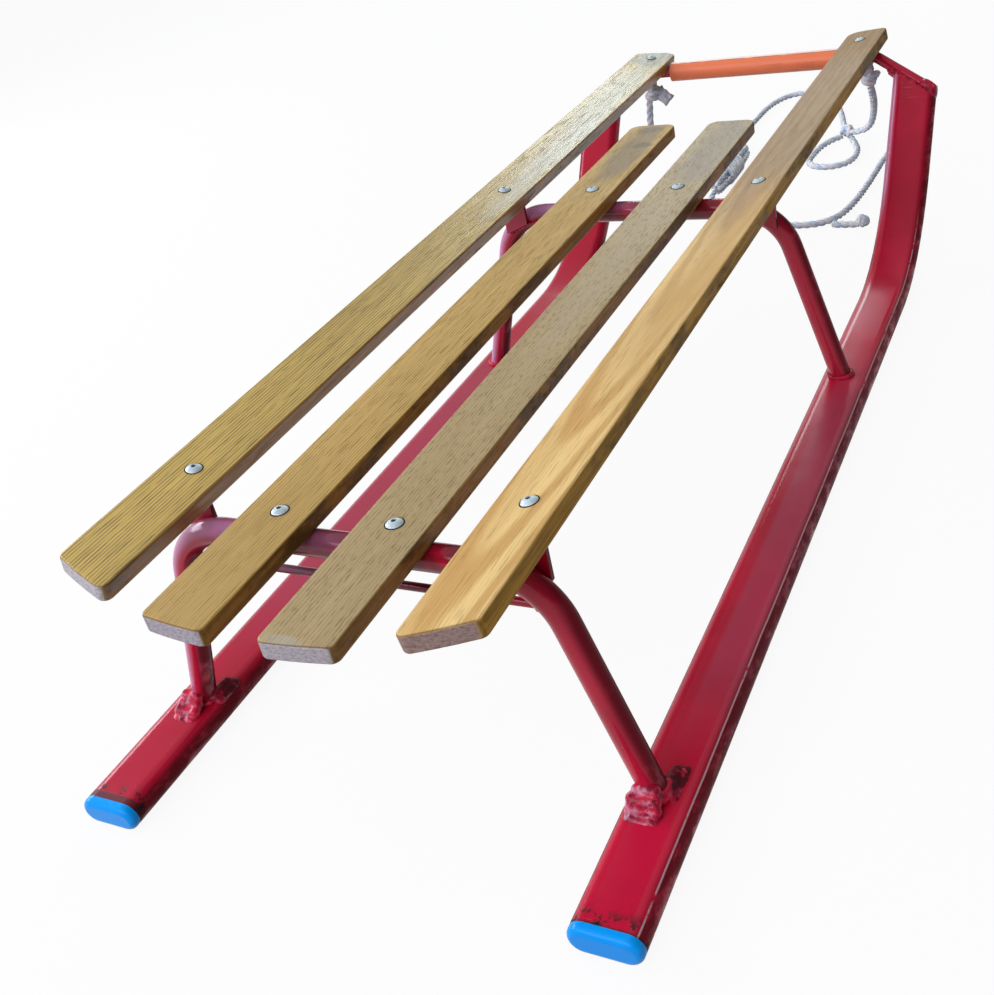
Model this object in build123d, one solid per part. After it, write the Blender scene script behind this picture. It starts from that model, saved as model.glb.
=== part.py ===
"""Child's sled: two flat-oval steel runners, two tube bows, four ash slats, a nose bar and a tow rope.

Millimetres. +X is the sled's right seen from behind, +Y is forward, +Z is up.
The origin lies on the ground under the middle of the box of the sled without its rope.
"""
import math
import os

from build123d import *

os.makedirs("parts", exist_ok=True)

# Overall length, from the face of the left rear plug to the front tip of the right outer slat
LENGTH = 936.0
REAR_Y = -LENGTH / 2
FRONT_Y = LENGTH / 2

# Overall width, over the runners
WIDTH = 356.8

# Gap left between curved faces of two pieces that bear on one another
SEAT = 0.3

# Runners: flat-oval tube, wide face up, swept up at the front; the right one stops a little short
RUNNER_W = 40.4
RUNNER_T = 18.0
RUNNER_WALL = 1.5
RUNNER_BEND_R = 167.0
RUNNER_RISE = 54.5
RIGHT_SHORT = 4.0
RUNNER_X = (WIDTH - RUNNER_W) / 2

# Plugs closing the rear ends of the runners
PLUG_FACE = 6.0
PLUG_SPIGOT = 14.0
PLUG_ROUND = 4.0

# Slats: two inner ones lie flat on the bows, two outer ones sit higher and lean inwards
SLAT_W = 40.0
SLAT_T = 10.6
SLAT_EASE = 1.5
SLAT_REAR_SET = 0.2
SLAT_REAR_R = 330.0
INNER_SHARE = 0.341
INNER_TOP_Z = 178.2
INNER_REACH = 156.0
OUTER_SET = 53.0
OUTER_RAISE = 8.9
OUTER_TILT = 9.7
OUTER_FRONT_R = 300.0
LEFT_TIP_SHORT = 14.0
REAR_CORNER_R = 5.0
FRONT_CORNER_R = 9.0
OUTER_X = RUNNER_X - OUTER_SET
INNER_X = OUTER_X * INNER_SHARE
OUTER_TOP_Z = INNER_TOP_Z + OUTER_RAISE
SLAT_REAR_Y = REAR_Y + SLAT_REAR_SET

# Bows: round tube bent in a U, feet standing on the runners, the slats lying on top
TUBE_D = 15.8
TUBE_WALL = 1.5
REAR_BOW_SET = 97.0
FRONT_BOW_SET = 384.0
BOW_CORNER_SET = 45.7
BOW_CORNER_R = 44.0
BOW_FOOT_IN = 4.2
BOW_CORNER_X = RUNNER_X - BOW_CORNER_SET
REAR_BOW_Y = REAR_Y + REAR_BOW_SET
FRONT_BOW_Y = FRONT_Y - FRONT_BOW_SET
BOW_FOOT_X = RUNNER_X - BOW_FOOT_IN
BOW_Z = INNER_TOP_Z - SLAT_T - SEAT - TUBE_D / 2

# Tie rod under the rear bow
TIE_D = 5.0
TIE_DROP = 21.4

# Brackets that carry the outer slats: angles welded on the inner faces of the bows' corners
BRACKET_T = 3.0
BRACKET_W = 20.0
BRACKET_IN = 3.2
BRACKET_REACH = 30.0
BRACKET_RIVET = 17.7
BRACKET_LAP_IN = 5.0
BRACKET_LAP_OUT = 13.0

# Nose bar: steel rod under the front of the outer slats, arms bent down onto the cut runner ends
NOSE_D = 10.0
NOSE_SET = 37.0
NOSE_BEND_SET = 40.2
NOSE_DROP = 33.0
NOSE_END_OUT = 17.8
NOSE_BEND_R = 20.0
NOSE_Y = FRONT_Y - NOSE_SET
NOSE_Z = OUTER_TOP_Z - SLAT_T - NOSE_D / 2
NOSE_BEND_X = RUNNER_X - NOSE_BEND_SET
NOSE_END_X = RUNNER_X + NOSE_END_OUT

# Sleeve on the nose bar between the outer slats
SLEEVE_D = 18.5
SLEEVE_GAP = 1.2
SLEEVE_HALF = OUTER_X - SLAT_W / 2 - SLEEVE_GAP

# Rivets
RIVET_HEAD_D = 10.0
RIVET_HEAD_H = 2.2
RIVET_D = 5.0
RIVET_DIMPLE_D = 2.8
RIVET_TAIL_D = 8.0
RIVET_TAIL_H = 1.6

# Tow rope: knotted under the nose bar, lying on the ground ahead of it with its slack wound in a hank
ROPE_D = 7.5
ROPE_LIFT = 0.35
ROPE_Z = ROPE_D / 2 + ROPE_LIFT
KNOT_DROP = 15.0
KNOT_COLLAR_D = 23.0
KNOT_COLLAR_L = 12.0
RIGHT_KNOT_X = NOSE_BEND_X - 5.0
LEFT_KNOT_X = -NOSE_BEND_X + 11.0
STUB_OUT = 16.0
STUB_DROP = 14.0
STUB_D = 12.0
CROSS_AHEAD = 275.0
HANK_X = -79.0
HANK_REAR = 83.0
HANK_LENGTH = 126.0
HANK_D = 24.0
HANK_WAIST_D = 19.0
HANK_END_D = 12.0
HANK_BITE = 2.0
HANK_Z = HANK_D / 2 + ROPE_LIFT


def tilt_plane(x, top_z, tilt):
    """Top face of a slat: local x across, local y forward, local z out of the wood."""
    a = math.radians(tilt)
    across = (math.cos(a), 0, math.sin(a))
    return Plane(origin=(x, 0, top_z), x_dir=across, z_dir=(-math.sin(a), 0, math.cos(a)))


INNER_PLANE = tilt_plane(INNER_X, INNER_TOP_Z, 0.0)
OUTER_PLANE = tilt_plane(OUTER_X, OUTER_TOP_Z, OUTER_TILT)

nodes = {}


def to_left(solid):
    return mirror(solid, about=Plane.YZ)


def pair(name, solid):
    """A right-hand piece and its mirror image."""
    nodes[name + "_right"] = solid
    nodes[name + "_left"] = to_left(solid)


def rod_along(path, radius):
    return sweep(Plane(origin=path @ 0, z_dir=path % 0) * Circle(radius), path=path)


# Nose bar: straight middle, two arms lying in the plane in which the runners rise
rise = math.radians(RUNNER_RISE)
drop = math.radians(NOSE_DROP)
up_run = Vector(0, math.cos(rise), math.sin(rise))
nose_corner = Vector(NOSE_BEND_X, NOSE_Y, NOSE_Z)
arm_dir = Vector(1, 0, 0) * math.cos(drop) - up_run * math.sin(drop)
arm_end = nose_corner + arm_dir * ((NOSE_END_X - NOSE_BEND_X) / math.cos(drop))


def mirrored(p):
    return Vector(-p.X, p.Y, p.Z)


nose_path = FilletPolyline(
    mirrored(arm_end), mirrored(nose_corner), nose_corner, arm_end, radius=NOSE_BEND_R
)
nose_bar = rod_along(nose_path, NOSE_D / 2)
nose_room = rod_along(nose_path, NOSE_D / 2 + SEAT)

# Runners and their plugs; each side has its own rear end
runner_z = RUNNER_T / 2
bend_y = NOSE_Y - (NOSE_Z - runner_z) / math.tan(rise)
bore_w = RUNNER_W - 2 * RUNNER_WALL
bore_t = RUNNER_T - 2 * RUNNER_WALL
cut_normal = Vector(1, 0, 0) * math.sin(drop) + up_run * math.cos(drop)
cut_point = nose_corner - cut_normal * (NOSE_D / 2 + SEAT)
top_cut = Plane(origin=cut_point, z_dir=cut_normal)


def cross_section(y):
    return Plane(origin=(RUNNER_X, y, runner_z), x_dir=(1, 0, 0), z_dir=(0, 1, 0))


def make_runner(rear_y):
    path = FilletPolyline(
        (RUNNER_X, rear_y, runner_z),
        (RUNNER_X, bend_y, runner_z),
        Vector(RUNNER_X, NOSE_Y, NOSE_Z) + up_run * 20,
        radius=RUNNER_BEND_R,
    )
    tube = sweep(cross_section(rear_y) * SlotOverall(RUNNER_W, RUNNER_T), path=path)
    tube -= sweep(cross_section(rear_y) * SlotOverall(bore_w, bore_t), path=path)
    return split(tube, bisect_by=top_cut, keep=Keep.BOTTOM)


def make_plug(rear_y):
    plug = extrude(cross_section(rear_y - PLUG_FACE) * SlotOverall(RUNNER_W, RUNNER_T), PLUG_FACE)
    plug = fillet(plug.faces().sort_by(Axis.Y)[0].edges(), PLUG_ROUND)
    spigot = SlotOverall(bore_w - 2 * SEAT, bore_t - 2 * SEAT)
    return plug + extrude(cross_section(rear_y) * spigot, PLUG_SPIGOT)


left_tube_y = REAR_Y + PLUG_FACE
right_tube_y = left_tube_y + RIGHT_SHORT
nodes["runner_right"] = make_runner(right_tube_y)
nodes["runner_left"] = to_left(make_runner(left_tube_y))
nodes["end_plug_right"] = make_plug(right_tube_y)
nodes["end_plug_left"] = to_left(make_plug(left_tube_y))

# Bows: the legs run on into the runners' height and are cut off level with their tops
leg_lean = (BOW_FOOT_X - BOW_CORNER_X) / (BOW_Z - RUNNER_T)
leg_end_x = BOW_FOOT_X + leg_lean * runner_z


def bow_path(y):
    return FilletPolyline(
        (-leg_end_x, y, runner_z),
        (-BOW_CORNER_X, y, BOW_Z),
        (BOW_CORNER_X, y, BOW_Z),
        (leg_end_x, y, runner_z),
        radius=BOW_CORNER_R,
    )


def make_bow(y):
    path = bow_path(y)
    bow = rod_along(path, TUBE_D / 2) - rod_along(path, TUBE_D / 2 - TUBE_WALL)
    bow = split(bow, bisect_by=Plane.XY.offset(RUNNER_T), keep=Keep.TOP)
    for side in (-1, 1):
        bow -= Pos(side * INNER_X, y, BOW_Z + TUBE_D / 2) * Cylinder(RIVET_D / 2 + SEAT, TUBE_D / 2)
    return bow


bow_rows = {
    # name: place along the sled, direction of the middle of the sled
    "rear": (REAR_BOW_Y, 1),
    "front": (FRONT_BOW_Y, -1),
}
for name, (y, inward) in bow_rows.items():
    nodes[name + "_bow"] = make_bow(y)

# Tie rod between the corners of the rear bow
tie = Pos(0, REAR_BOW_Y, BOW_Z - TIE_DROP) * Rot(0, 90, 0) * Cylinder(TIE_D / 2, 2 * (BOW_CORNER_X + 5))
tie -= rod_along(bow_path(REAR_BOW_Y), TUBE_D / 2 + SEAT)
nodes["tie_rod"] = tie.solids().sort_by(SortBy.VOLUME)[-1]

# Brackets: an angle, one leg flat against the bow's corner, the other under the slat
lean = math.cos(math.radians(OUTER_TILT))
under = OUTER_PLANE.offset(-SLAT_T - BRACKET_T / 2)
plate_w = BRACKET_W / lean
plate_u = -BRACKET_IN / lean
leg_set = TUBE_D / 2 + SEAT
for name, (y, inward) in bow_rows.items():
    plate_y = y + inward * (leg_set + BRACKET_REACH) / 2
    plate = under * Pos(plate_u, plate_y, 0) * Box(plate_w, BRACKET_REACH - leg_set, BRACKET_T)
    top_in = under.from_local_coords(Vector(plate_u - plate_w / 2, y, 0))
    top_out = under.from_local_coords(Vector(plate_u + plate_w / 2, y, 0))
    leg_outline = Polyline(
        (top_in.X, BOW_Z - BRACKET_LAP_IN),
        (top_out.X, BOW_Z - BRACKET_LAP_OUT),
        (top_out.X, top_out.Z),
        (top_in.X, top_in.Z),
        close=True,
    )
    leg_y = y + inward * (leg_set + BRACKET_T / 2)
    leg_plane = Plane(origin=(0, leg_y, 0), x_dir=(1, 0, 0), z_dir=(0, -1, 0))
    leg = extrude(leg_plane * make_face(leg_outline), BRACKET_T / 2, both=True)
    bracket = plate + leg
    hole_y = y + inward * BRACKET_RIVET
    bracket -= OUTER_PLANE * Pos(0, hole_y, -SLAT_T) * Cylinder(RIVET_D / 2 + SEAT, 4 * BRACKET_T)
    pair(name + "_slat_bracket", bracket)

# Sleeve on the nose bar
sleeve = Rot(0, 90, 0) * Cylinder(SLEEVE_D / 2, 2 * SLEEVE_HALF)
sleeve -= Rot(0, 90, 0) * Cylinder(NOSE_D / 2 + SEAT, 2 * SLEEVE_HALF)
nodes["nose_sleeve"] = Pos(0, NOSE_Y, NOSE_Z) * sleeve


# Slats: the rear ends of all four lie on one wide arc, as do the front tips of the outer two
def rear_edge(x):
    return SLAT_REAR_Y + SLAT_REAR_R - math.sqrt(SLAT_REAR_R**2 - x**2)


tip_in = OUTER_X - SLAT_W / 2 + FRONT_CORNER_R
tip_r = OUTER_FRONT_R - FRONT_CORNER_R
tip_centre_y = FRONT_Y - FRONT_CORNER_R - math.sqrt(tip_r**2 - tip_in**2)


def outer_front_edge(x):
    return tip_centre_y + math.sqrt(OUTER_FRONT_R**2 - x**2)


def inner_front_edge(x):
    return FRONT_BOW_Y + INNER_REACH


def make_slat(plane, x, width, front_edge, straight_front, short, shift, turn):
    left, right = (-width / 2, width / 2)
    front_left = (left, front_edge(x + left) - short)
    front_right = (right, front_edge(x + right) - short)
    rear = ThreePointArc(
        (left, rear_edge(x + left)), (0, rear_edge(x)), (right, rear_edge(x + right))
    )
    side_r = Line((right, rear_edge(x + right)), front_right)
    if straight_front:
        front = Line(front_right, front_left)
    else:
        front = ThreePointArc(front_right, (0, front_edge(x) - short), front_left)
    side_l = Line(front_left, (left, rear_edge(x + left)))
    plan = make_face([rear, side_r, front, side_l])
    plan = fillet(plan.vertices().sort_by(Axis.Y)[:2], REAR_CORNER_R)
    plan = fillet(plan.vertices().sort_by(Axis.Y)[-2:], FRONT_CORNER_R)
    slat = extrude(plan, -SLAT_T)
    rims = slat.faces().filter_by(Plane.XY).edges()
    slat = fillet(rims, SLAT_EASE)
    return plane * Pos(shift, 0, 0) * Rot(0, 0, turn) * slat


# each slat is made as a right-hand one; boards and their lie differ a little
slat_rows = {
    # name: plane, x, width, front edge, straight front, shortened by, moved outwards by, turned by
    "inner_slat_right": (INNER_PLANE, INNER_X, SLAT_W + 1.2, inner_front_edge, True, 0.0, -0.6, 0.0),
    "inner_slat_left": (INNER_PLANE, INNER_X, SLAT_W + 2.0, inner_front_edge, True, 0.0, 1.1, 0.0),
    "outer_slat_right": (OUTER_PLANE, OUTER_X, SLAT_W, outer_front_edge, False, 0.0, -0.5, -0.2),
    "outer_slat_left": (OUTER_PLANE, OUTER_X, SLAT_W, outer_front_edge, False, LEFT_TIP_SHORT, 0.0, 0.0),
}
slats = {}
for name, row in slat_rows.items():
    slats[name] = make_slat(*row)
    if row[0] is OUTER_PLANE:
        slats[name] -= nose_room

# Rivets: domed head on the slat, shank through wood and steel, tail closed under the steel
rivet_rows = [
    # name, slat plane, place along the sled, steel under the slat, closed tail
    ("rear_inner", INNER_PLANE, REAR_BOW_Y, TUBE_WALL + SEAT, False),
    ("front_inner", INNER_PLANE, FRONT_BOW_Y, TUBE_WALL + SEAT, False),
    ("rear_outer", OUTER_PLANE, REAR_BOW_Y + BRACKET_RIVET, BRACKET_T, True),
    ("front_outer", OUTER_PLANE, FRONT_BOW_Y - BRACKET_RIVET, BRACKET_T, True),
    ("nose", OUTER_PLANE, NOSE_Y, NOSE_D * 0.85, False),
]


def make_rivet(length, tail):
    r = RIVET_HEAD_D / 2
    dome = make_face(
        [
            Line((0, 0), (r, 0)),
            ThreePointArc((r, 0), (r * 0.62, RIVET_HEAD_H * 0.72), (0, RIVET_HEAD_H)),
            Line((0, RIVET_HEAD_H), (0, 0)),
        ]
    )
    rivet = revolve(Plane.XZ * dome, axis=Axis.Z)
    rivet += Pos(0, 0, -length / 2) * Cylinder(RIVET_D / 2, length)
    rivet -= Pos(0, 0, RIVET_HEAD_H) * Cylinder(RIVET_DIMPLE_D / 2, RIVET_HEAD_H)
    if tail:
        rivet += Pos(0, 0, -length - RIVET_TAIL_H / 2) * Cylinder(RIVET_TAIL_D / 2, RIVET_TAIL_H)
    return rivet


for name, plane, y, steel, tail in rivet_rows:
    length = SLAT_T + steel
    place = plane * Pos(0, y, 0)
    hole = place * Pos(0, 0, -SLAT_T / 2) * Cylinder(RIVET_D / 2 + SEAT, 2 * SLAT_T)
    for slat_name, row in slat_rows.items():
        if row[0] is plane:
            slats[slat_name] -= hole
    if name == "nose":
        bore = place * Pos(0, 0, -length / 2) * Cylinder(RIVET_D / 2 + SEAT, 2 * length)
        nose_bar -= bore
        nose_bar -= to_left(bore)
    pair(name + "_rivet", place * make_rivet(length, tail))

nodes["nose_bar"] = nose_bar
for name, slat in slats.items():
    nodes[name] = to_left(slat) if name.endswith("_left") else slat

# Tow rope: places are x, distance ahead of the nose bar, height; a height under 1 is a share of the bar's
FLOOR = ROPE_Z


def rope_point(x, ahead, height):
    z = height * NOSE_Z if height < 1 else height
    return Vector(x, NOSE_Y + ahead, z)


# Knots: lumps, each with the room its strands are trimmed by
knot_z = NOSE_Z - KNOT_DROP
hank_y = NOSE_Y + HANK_REAR + HANK_LENGTH / 2
knot_rows = {
    # name: place, half sizes (x, y, z), on the bar
    "right_knot": ((RIGHT_KNOT_X, 0, knot_z), (9.0, 9.0, 12.0), True),
    "left_knot": ((LEFT_KNOT_X, 0, knot_z), (10.0, 9.0, 12.0), True),
    "cross_knot": ((31.0, CROSS_AHEAD, 9.0), (11.0, 11.0, 8.6), False),
    "end_knot": ((103.0, -5, 7.4), (7.5, 7.0, 7.0), False),
    "tail_knot": ((94.0, 224, 7.4), (7.0, 7.5, 7.0), False),
    "left_end_knot": ((LEFT_KNOT_X - 9, 0, 0.61), (6.8, 6.8, 7.5), False),
}
knot_rooms = {}
slat_under = OUTER_PLANE.offset(-SLAT_T - SEAT)
rivet_room = OUTER_PLANE * Pos(0, NOSE_Y, -SLAT_T) * Cylinder(RIVET_D / 2 + SEAT, NOSE_D)
for name, (place, half, on_bar) in knot_rows.items():
    middle = rope_point(*place)
    knot = Pos(middle) * scale(Sphere(1), by=half)
    knot_rooms[name] = Pos(middle) * scale(Sphere(1), by=tuple(h + SEAT for h in half))
    if on_bar:
        # a knot on the bar closes round it as far as the slat above leaves room
        collar = Rot(0, 90, 0) * Cylinder(KNOT_COLLAR_D / 2, KNOT_COLLAR_L)
        knot += Pos(middle.X, NOSE_Y, NOSE_Z) * collar
        if middle.X < 0:
            stub_tip = middle + Vector(STUB_OUT, 0, -STUB_DROP)
            knot += rod_along(Line(middle, stub_tip), STUB_D / 2)
            knot += Pos(stub_tip) * Sphere(STUB_D / 2)
            knot = to_left(split(to_left(knot), bisect_by=slat_under, keep=Keep.BOTTOM))
            knot -= to_left(rivet_room)
        else:
            knot = split(knot, bisect_by=slat_under, keep=Keep.BOTTOM)
            knot -= rivet_room
        knot -= nose_room
    nodes["tow_rope_" + name] = knot

# Hank: loops wound round the middle, flat ends where the strands run in
half_l = HANK_LENGTH / 2
hank_side = Spline(
    (HANK_END_D / 2, -half_l),
    (HANK_D * 0.46, -half_l * 0.75),
    (HANK_WAIST_D / 2, -half_l * 0.45),
    (HANK_D / 2, 0),
    (HANK_WAIST_D / 2, half_l * 0.55),
    (HANK_D * 0.46, half_l * 0.8),
    (HANK_END_D / 2, half_l),
)
hank_outline = make_face(
    [
        hank_side,
        Line((HANK_END_D / 2, half_l), (0, half_l)),
        Line((0, half_l), (0, -half_l)),
        Line((0, -half_l), (HANK_END_D / 2, -half_l)),
    ]
)
nodes["tow_rope_hank"] = Pos(HANK_X, hank_y, HANK_Z) * revolve(hank_outline, axis=Axis.Y)
hank_room = Rot(90, 0, 0) * Cylinder(HANK_D / 2, HANK_LENGTH + 2 * SEAT)
knot_rooms["hank"] = Pos(HANK_X, hank_y, HANK_Z) * hank_room

# Strands, by the corners of their runs
cord_rows = {
    "lead": [
        (RIGHT_KNOT_X, 0, 0.85), (RIGHT_KNOT_X, 16, 0.76), (107, 51, 0.64), (96, 104, 0.48), (80, 169, 0.29),
        (57, 231, 0.13), (34, 272, 0.052),
    ],
    "loop": [
        (26, 273, FLOOR), (13, 257, FLOOR), (6, 234, FLOOR), (3.5, 209, FLOOR), (3, 183, FLOOR),
        (16, 168, FLOOR), (36, 166, FLOOR), (52, 178, FLOOR), (56, 200, FLOOR), (52, 231, FLOOR),
        (38, 263, FLOOR),
    ],
    "arc": [
        (29, 281, FLOOR), (17, 317, FLOOR), (7, 356, FLOOR), (-8, 399, FLOOR), (-31, 437, FLOOR),
        (-58, 461, FLOOR), (-82, 457, FLOOR), (-97, 431, FLOOR), (-104, 394, FLOOR), (-105, 354, FLOOR),
        (-108, 311, FLOOR), (-104, 273, FLOOR), (-92, 245, 6.5), (-82, 226, 10.5),
        (HANK_X, HANK_REAR + HANK_LENGTH - HANK_BITE, HANK_Z),
    ],
    "tail": [
        (HANK_X, HANK_REAR + HANK_BITE, HANK_Z), (HANK_X, 62, 10), (-72, 35, 4.5), (-50, 15, FLOOR),
        (-20, 5, FLOOR), (12, -3, FLOOR), (39, -7, FLOOR), (61, -2, FLOOR), (75, 15, FLOOR),
        (82, 44, FLOOR), (86, 84, FLOOR), (88.5, 134, FLOOR), (89.5, 179, FLOOR), (93, 217, FLOOR),
    ],
    "end": [(68, 0, FLOOR), (84, -7, FLOOR), (100, -5, FLOOR)],
    "left_end": [
        (LEFT_KNOT_X - 5, 0, 0.865), (LEFT_KNOT_X - 7.5, -1, 0.74), (LEFT_KNOT_X - 9, 0, 0.62),
    ],
}
# where each strand is trimmed
cord_ends = {
    "lead": ("right_knot", "cross_knot"),
    "loop": ("cross_knot",),
    "arc": ("cross_knot", "hank"),
    "tail": ("hank", "tail_knot"),
    "end": ("tail", "end_knot"),
    "left_end": ("left_knot", "left_end_knot"),
}


def cord_path(points):
    """Straight runs joined by tangent arcs, each arc taking most of the shorter run beside it."""
    radii = []
    for before, here, after in zip(points, points[1:], points[2:]):
        turn = math.radians((here - before).get_angle(after - here))
        run = min((here - before).length, (after - here).length)
        radii.append(0.45 * run / math.tan(turn / 2))
    return FilletPolyline(*points, radius=radii), radii


for name, rows in cord_rows.items():
    path, radii = cord_path([rope_point(*row) for row in rows])
    cord = rod_along(path, ROPE_D / 2)
    share = cord.volume / (math.pi * ROPE_D**2 / 4 * path.length)
    for end in cord_ends[name]:
        if end in knot_rooms:
            cord -= knot_rooms[end]
        else:
            neighbour = [rope_point(*row) for row in cord_rows[end]]
            cord -= rod_along(cord_path(neighbour)[0], ROPE_D / 2 + SEAT)
    nodes["tow_rope_" + name] = cord.solids().sort_by(SortBy.VOLUME)[-1]
    bends = [round(r) for r in radii]
    print(name, "length", round(path.length), "volume share", round(share, 3), "radii", bends)

total = 0.0
for name, solid in nodes.items():
    if not isinstance(solid, Solid):
        solids = solid.solids()
        if len(solids) != 1:
            raise ValueError(f"{name} is {len(solids)} solids")
        solid = solids[0]
    solid.label = name
    total += solid.volume
    export_step(solid, f"parts/{name}.step")
print(len(nodes), "nodes", round(total / 1000, 1), "cm3")
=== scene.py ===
import math

import bmesh
import bpy
from mathutils import Matrix, Vector


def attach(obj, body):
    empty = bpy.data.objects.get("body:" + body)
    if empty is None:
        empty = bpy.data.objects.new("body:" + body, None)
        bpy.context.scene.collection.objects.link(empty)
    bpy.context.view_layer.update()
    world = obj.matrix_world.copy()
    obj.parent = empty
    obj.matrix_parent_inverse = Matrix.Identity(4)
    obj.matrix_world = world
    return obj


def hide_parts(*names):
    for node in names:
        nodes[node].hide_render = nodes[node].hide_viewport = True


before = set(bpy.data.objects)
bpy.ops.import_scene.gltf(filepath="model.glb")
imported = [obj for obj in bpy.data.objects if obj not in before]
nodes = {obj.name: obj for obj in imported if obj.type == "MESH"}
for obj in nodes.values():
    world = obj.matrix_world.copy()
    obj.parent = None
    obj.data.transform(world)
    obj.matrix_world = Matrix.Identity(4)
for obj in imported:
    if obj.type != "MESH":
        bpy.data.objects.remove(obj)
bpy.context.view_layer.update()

# Runners
# Two lengths of flat-oval steel tube, swept up at the front and sprayed red. Wear has rubbed the outer
# shoulder to a pale line. The flank below it is dulled and painted dark, a painted reflection of a dark
# floor; a painted sheen lies on the outer part of the top, and a painted lilac highlight on the right
# one's inner edge.
RUNNER_X = 0.1582
SHOULDER_OUT = 0.0163
CRIMSON = (0.63, 0.008, 0.046, 1)
CRIMSON_DEEP = (0.45, 0.005, 0.030, 1)
RUBBED_BARE = (0.60, 0.38, 0.38, 1)
FLANK_SHADE = (0.115, 0.010, 0.015, 1)
SHEEN_COLOUR = (0.36, 0.095, 0.150, 1)
EDGE_HIGHLIGHT = (0.60, 0.26, 0.46, 1)
CHIP_BLACK = (0.014, 0.009, 0.010, 1)
SCRATCH_PALE = (0.55, 0.16, 0.18, 1)
END_SCRATCH = (0.55, 0.30, 0.34, 1)
SOLE_DIRT = (0.16, 0.15, 0.14, 1)


def add(tree, kind, inputs=None, **settings):
    """One shader node; an input takes a value or another node's output."""
    made = tree.nodes.new(kind)
    for key, value in settings.items():
        setattr(made, key, value)
    for key, value in (inputs or {}).items():
        if isinstance(value, bpy.types.NodeSocket):
            tree.links.new(value, made.inputs[key])
        else:
            made.inputs[key].default_value = value
    return made


def math_node(tree, operation, *values):
    return add(tree, "ShaderNodeMath", dict(enumerate(values)), operation=operation).outputs[0]


def times(tree, one, other):
    return math_node(tree, "MULTIPLY", one, other)


def scaled(tree, value, gain, offset):
    return math_node(tree, "MULTIPLY_ADD", value, gain, offset)


def larger(tree, one, other):
    return math_node(tree, "MAXIMUM", one, other)


def size_of(tree, value):
    return math_node(tree, "ABSOLUTE", value)


def split(tree, vector):
    """The X, Y and Z parts of a vector."""
    return add(tree, "ShaderNodeSeparateXYZ", {"Vector": vector}).outputs


def blend_colour(tree, factor, under, over, strength=None):
    """under where the factor is 0, over where it is 1; a strength weakens the factor."""
    if strength is not None:
        factor = times(tree, factor, strength)
    mixed = add(tree, "ShaderNodeMix", {"Factor": factor}, data_type="RGBA")
    for socket, value in ((mixed.inputs[6], under), (mixed.inputs[7], over)):
        if isinstance(value, bpy.types.NodeSocket):
            tree.links.new(value, socket)
        else:
            socket.default_value = value
    return mixed.outputs[2]


def band(tree, value, low, high):
    """0 below low, 1 above high, smooth between; low may be the larger one."""
    ramp = add(
        tree,
        "ShaderNodeMapRange",
        {"Value": value, "From Min": low, "From Max": high, "To Min": 0.0, "To Max": 1.0},
        interpolation_type="SMOOTHSTEP",
    )
    return ramp.outputs["Result"]


def spots(tree, place, scale, detail=4.0, rough=0.55):
    look = {"Vector": place, "Scale": scale, "Detail": detail, "Roughness": rough}
    return add(tree, "ShaderNodeTexNoise", look).outputs["Fac"]


def stretched(tree, place, scale, turn=(0, 0, 0), shift=(0, 0, 0)):
    mapped = add(
        tree, "ShaderNodeMapping",
        {"Vector": place, "Scale": scale, "Rotation": turn, "Location": shift},
    )
    return mapped.outputs["Vector"]


def start_material(name):
    made = bpy.data.materials.new(name)
    made.use_nodes = True
    tree = made.node_tree
    surface = tree.nodes["Principled BSDF"]
    coords = add(tree, "ShaderNodeTexCoord")
    return made, tree, surface, coords


def roughen(tree, surface, height, strength, distance):
    bump = add(tree, "ShaderNodeBump", {"Height": height, "Strength": strength, "Distance": distance})
    tree.links.new(bump.outputs["Normal"], surface.inputs["Normal"])


def red_paint_base(tree, place):
    """Sprayed crimson, a little deeper in patches, with fine pale scratches."""
    cloud = band(tree, spots(tree, place, 9.0), 0.35, 0.68)
    paint = blend_colour(tree, cloud, CRIMSON, CRIMSON_DEEP)
    scuff = spots(tree, stretched(tree, place, (60, 900, 60), (0.2, 0.1, 0.5)), 1.0, 3.0)
    return blend_colour(tree, band(tree, scuff, 0.70, 0.78), paint, SCRATCH_PALE, 0.35)


runner_paint, tree, surface, coords = start_material("runner red paint")
place = coords.outputs["Object"]
axes = split(tree, place)
facing = split(tree, coords.outputs["Normal"])
paint = red_paint_base(tree, place)
across = math_node(tree, "SUBTRACT", size_of(tree, axes["X"]), RUNNER_X)
upper = band(tree, math_node(tree, "SUBTRACT", facing["Z"], facing["Y"]), 0.1, 0.5)
ragged = spots(tree, stretched(tree, place, (150, 55, 150)), 1.0, 6.0, 0.7)
wander = scaled(tree, spots(tree, stretched(tree, place, (0, 14, 14)), 1.0), 0.0012, -0.0006)
from_line = size_of(
    tree, math_node(tree, "SUBTRACT", math_node(tree, "ADD", across, wander), SHOULDER_OUT)
)
line = times(tree, band(tree, from_line, 0.00055, 0.00022), band(tree, ragged, 0.34, 0.46))
line = times(tree, line, times(tree, upper, band(tree, axes["Z"], 0.060, 0.028)))
# Painted reflection: the flank below the shoulder is darkened in ragged patches for the dark floor it
# reflects, and dulled.
inner_flank = times(tree, band(tree, across, -0.0164, -0.0190), band(tree, axes["Z"], 0.045, 0.028))
flank = larger(tree, band(tree, across, 0.0140, 0.0172), inner_flank)
flank = times(tree, flank, band(tree, ragged, 0.26, 0.56))
shaded = times(tree, band(tree, axes["X"], -0.05, -0.12), 0.6)
paint = blend_colour(tree, shaded, paint, CRIMSON_DEEP)
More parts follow.
